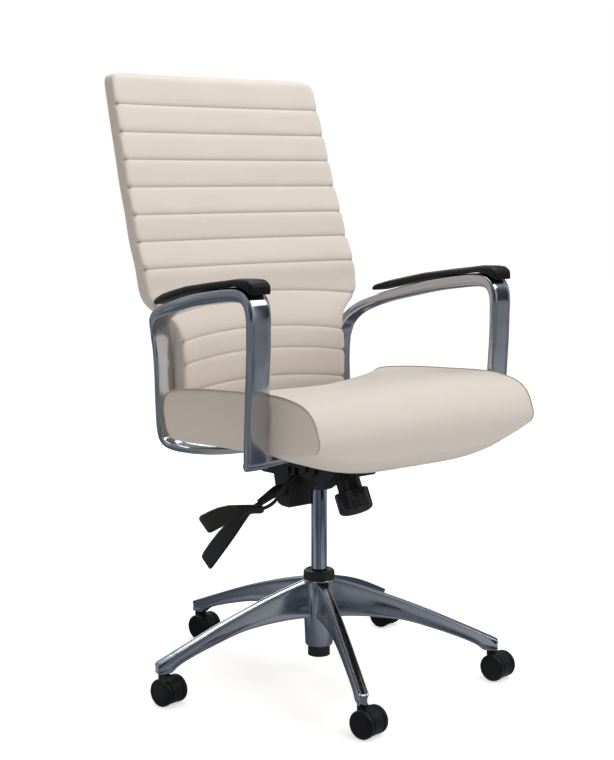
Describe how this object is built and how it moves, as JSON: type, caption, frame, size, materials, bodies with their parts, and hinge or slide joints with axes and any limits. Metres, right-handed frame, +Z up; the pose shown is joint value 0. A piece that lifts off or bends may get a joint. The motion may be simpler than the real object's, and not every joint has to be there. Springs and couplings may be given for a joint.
{
  "type": "swivel office chair",
  "caption": "High-back swivel office chair: channel-stitched cream back and seat, looped polished metal arms, tilt mechanism, gas-lift column and star base on twin-wheel casters.",
  "frame": {"origin": "on the floor, under the column's axis", "axes": "+Z up, -Y the way the sitter faces, +X to the right when the chair is seen from the front"},
  "size_m": [0.6656, 0.7073, 1.127],
  "materials": {
    "polished_aluminium": "polished",
    "polished_column": "polished",
    "satin_black_plastic": "satin",
    "gloss_black_plastic": "gloss",
    "black_paint": "semi-gloss",
    "dark_steel": "blackened",
    "bright_steel": "ground",
    "black_rubber": "matt",
    "ivory_nylon": "satin",
    "black_nylon": "satin",
    "black_nylon_wheel": "satin",
    "cream_leather": "fine-grained, satin",
    "black_urethane": "soft satin",
    "plywood": "moulded ply"
  },
  "bodies": {
    "base": {"base_star": "polished_aluminium", "hub_collar": "satin_black_plastic", "lift_tube": "black_paint", "lift_base_clip": "dark_steel", "thrust_bearing": "bright_steel", "lift_buffer": "black_rubber", "guide_bush": "ivory_nylon", "caster_stems": "bright_steel"},
    "piston": {"piston_rod": "bright_steel"},
    "column": {"lift_cylinder": "polished_column", "mechanism_housing": "black_paint", "spring_housing": "satin_black_plastic", "tilt_axle": "dark_steel", "tension_spring": "bright_steel"},
    "release_pin": {"release_pin": "bright_steel"},
    "tension_knob": {"tension_bolt": "dark_steel", "tension_knob": "gloss_black_plastic"},
    "height_lever": {"height_lever": "black_paint", "height_paddle": "satin_black_plastic"},
    "lock_lever": {"lock_lever": "satin_black_plastic", "lock_boot": "black_rubber"},
    "seat_unit": {"seat_plate": "black_paint", "seat_plate_bolts": "dark_steel", "seat_pan": "satin_black_plastic", "seat_cushion": "cream_leather", "arm_frame_right": "polished_aluminium", "arm_frame_left": "polished_aluminium", "arm_pad_right": "black_urethane", "arm_pad_left": "black_urethane", "arm_bolts": "dark_steel", "back_bracket": "black_paint", "back_bolts": "dark_steel", "back_shell": "plywood", "back_cushion": "cream_leather", "back_panel": "cream_leather"},
    "caster_1": {"caster_hood_1": "black_nylon", "caster_axle_1": "bright_steel"},
    "wheel_left_1": {"caster_wheel_left_1": "black_nylon_wheel"},
    "wheel_right_1": {"caster_wheel_right_1": "black_nylon_wheel"},
    "caster_2": {"caster_hood_2": "black_nylon", "caster_axle_2": "bright_steel"},
    "wheel_left_2": {"caster_wheel_left_2": "black_nylon_wheel"},
    "wheel_right_2": {"caster_wheel_right_2": "black_nylon_wheel"},
    "caster_3": {"caster_hood_3": "black_nylon", "caster_axle_3": "bright_steel"},
    "wheel_left_3": {"caster_wheel_left_3": "black_nylon_wheel"},
    "wheel_right_3": {"caster_wheel_right_3": "black_nylon_wheel"},
    "caster_4": {"caster_hood_4": "black_nylon", "caster_axle_4": "bright_steel"},
    "wheel_left_4": {"caster_wheel_left_4": "black_nylon_wheel"},
    "wheel_right_4": {"caster_wheel_right_4": "black_nylon_wheel"},
    "caster_5": {"caster_hood_5": "black_nylon", "caster_axle_5": "bright_steel"},
    "wheel_left_5": {"caster_wheel_left_5": "black_nylon_wheel"},
    "wheel_right_5": {"caster_wheel_right_5": "black_nylon_wheel"}
  },
  "joints": [
    {"name": "seat_swivel", "type": "hinge", "parent": "base", "child": "piston", "pos_m": [0, 0, 0.1], "axis": [0, 0, 1], "continuous": true},
    {"name": "height_slide", "type": "slide", "parent": "piston", "child": "column", "axis": [0, 0, 1], "range_m": [-0.1, 0]},
    {"name": "seat_tilt", "type": "hinge", "parent": "column", "child": "seat_unit", "pos_m": [0, -0.029, 0.404], "axis": [-1, 0, 0], "range_deg": [0, 11], "stiffness_Nm_per_rad": 150, "springref_deg": -20.05},
    {"name": "tension_turn", "type": "hinge", "parent": "column", "child": "tension_knob", "pos_m": [0, -0.088, 0.371], "axis": [0, -0.4384, -0.8988], "range_deg": [-1080, 1080]},
    {"name": "height_lever_lift", "type": "hinge", "parent": "column", "child": "height_lever", "pos_m": [-0.025, 0, 0.3885], "axis": [0, 1, 0], "range_deg": [0, 8], "stiffness_Nm_per_rad": 1.2, "springref_deg": -5.73},
    {"name": "release_pin_push", "type": "slide", "parent": "column", "child": "release_pin", "axis": [0, 0, -1], "range_m": [0, 0.0045]},
    {"name": "tilt_lock_turn", "type": "hinge", "parent": "column", "child": "lock_lever", "pos_m": [-0.05, 0.05, 0.35], "axis": [1, 0, 0], "range_deg": [0, 20]},
    {"name": "caster_1_swivel", "type": "hinge", "parent": "base", "child": "caster_1", "pos_m": [-0.14552, -0.2906, 0.045], "axis": [0, 0, 1], "continuous": true},
    {"name": "wheel_left_1_spin", "type": "hinge", "parent": "caster_1", "child": "wheel_left_1", "pos_m": [-0.14292, -0.30537, 0.025], "axis": [-0.9848, -0.1736, 0], "continuous": true},
    {"name": "wheel_right_1_spin", "type": "hinge", "parent": "caster_1", "child": "wheel_right_1", "pos_m": [-0.14292, -0.30537, 0.025], "axis": [-0.9848, -0.1736, 0], "continuous": true},
    {"name": "caster_2_swivel", "type": "hinge", "parent": "base", "child": "caster_2", "pos_m": [0.23141, -0.2282, 0.045], "axis": [0, 0, 1], "continuous": true},
    {"name": "wheel_left_2_spin", "type": "hinge", "parent": "caster_2", "child": "wheel_left_2", "pos_m": [0.23401, -0.24297, 0.025], "axis": [-0.9848, -0.1736, 0], "continuous": true},
    {"name": "wheel_right_2_spin", "type": "hinge", "parent": "caster_2", "child": "wheel_right_2", "pos_m": [0.23401, -0.24297, 0.025], "axis": [-0.9848, -0.1736, 0], "continuous": true},
    {"name": "caster_3_swivel", "type": "hinge", "parent": "base", "child": "caster_3", "pos_m": [0.28854, 0.14957, 0.045], "axis": [0, 0, 1], "continuous": true},
    {"name": "wheel_left_3_spin", "type": "hinge", "parent": "caster_3", "child": "wheel_left_3", "pos_m": [0.29114, 0.13479, 0.025], "axis": [-0.9848, -0.1736, 0], "continuous": true},
    {"name": "wheel_right_3_spin", "type": "hinge", "parent": "caster_3", "child": "wheel_right_3", "pos_m": [0.29114, 0.13479, 0.025], "axis": [-0.9848, -0.1736, 0], "continuous": true},
    {"name": "caster_4_swivel", "type": "hinge", "parent": "base", "child": "caster_4", "pos_m": [-0.05308, 0.32064, 0.045], "axis": [0, 0, 1], "continuous": true},
    {"name": "wheel_left_4_spin", "type": "hinge", "parent": "caster_4", "child": "wheel_left_4", "pos_m": [-0.05048, 0.30586, 0.025], "axis": [-0.9848, -0.1736, 0], "continuous": true},
    {"name": "wheel_right_4_spin", "type": "hinge", "parent": "caster_4", "child": "wheel_right_4", "pos_m": [-0.05048, 0.30586, 0.025], "axis": [-0.9848, -0.1736, 0], "continuous": true},
    {"name": "caster_5_swivel", "type": "hinge", "parent": "base", "child": "caster_5", "pos_m": [-0.32135, 0.0486, 0.045], "axis": [0, 0, 1], "continuous": true},
    {"name": "wheel_left_5_spin", "type": "hinge", "parent": "caster_5", "child": "wheel_left_5", "pos_m": [-0.31874, 0.03383, 0.025], "axis": [-0.9848, -0.1736, 0], "continuous": true},
    {"name": "wheel_right_5_spin", "type": "hinge", "parent": "caster_5", "child": "wheel_right_5", "pos_m": [-0.31874, 0.03383, 0.025], "axis": [-0.9848, -0.1736, 0], "continuous": true}
  ],
  "couplings": [
    {"joint": "release_pin_push", "follows": "height_lever_lift", "m_per_rad": 0.03}
  ]
}
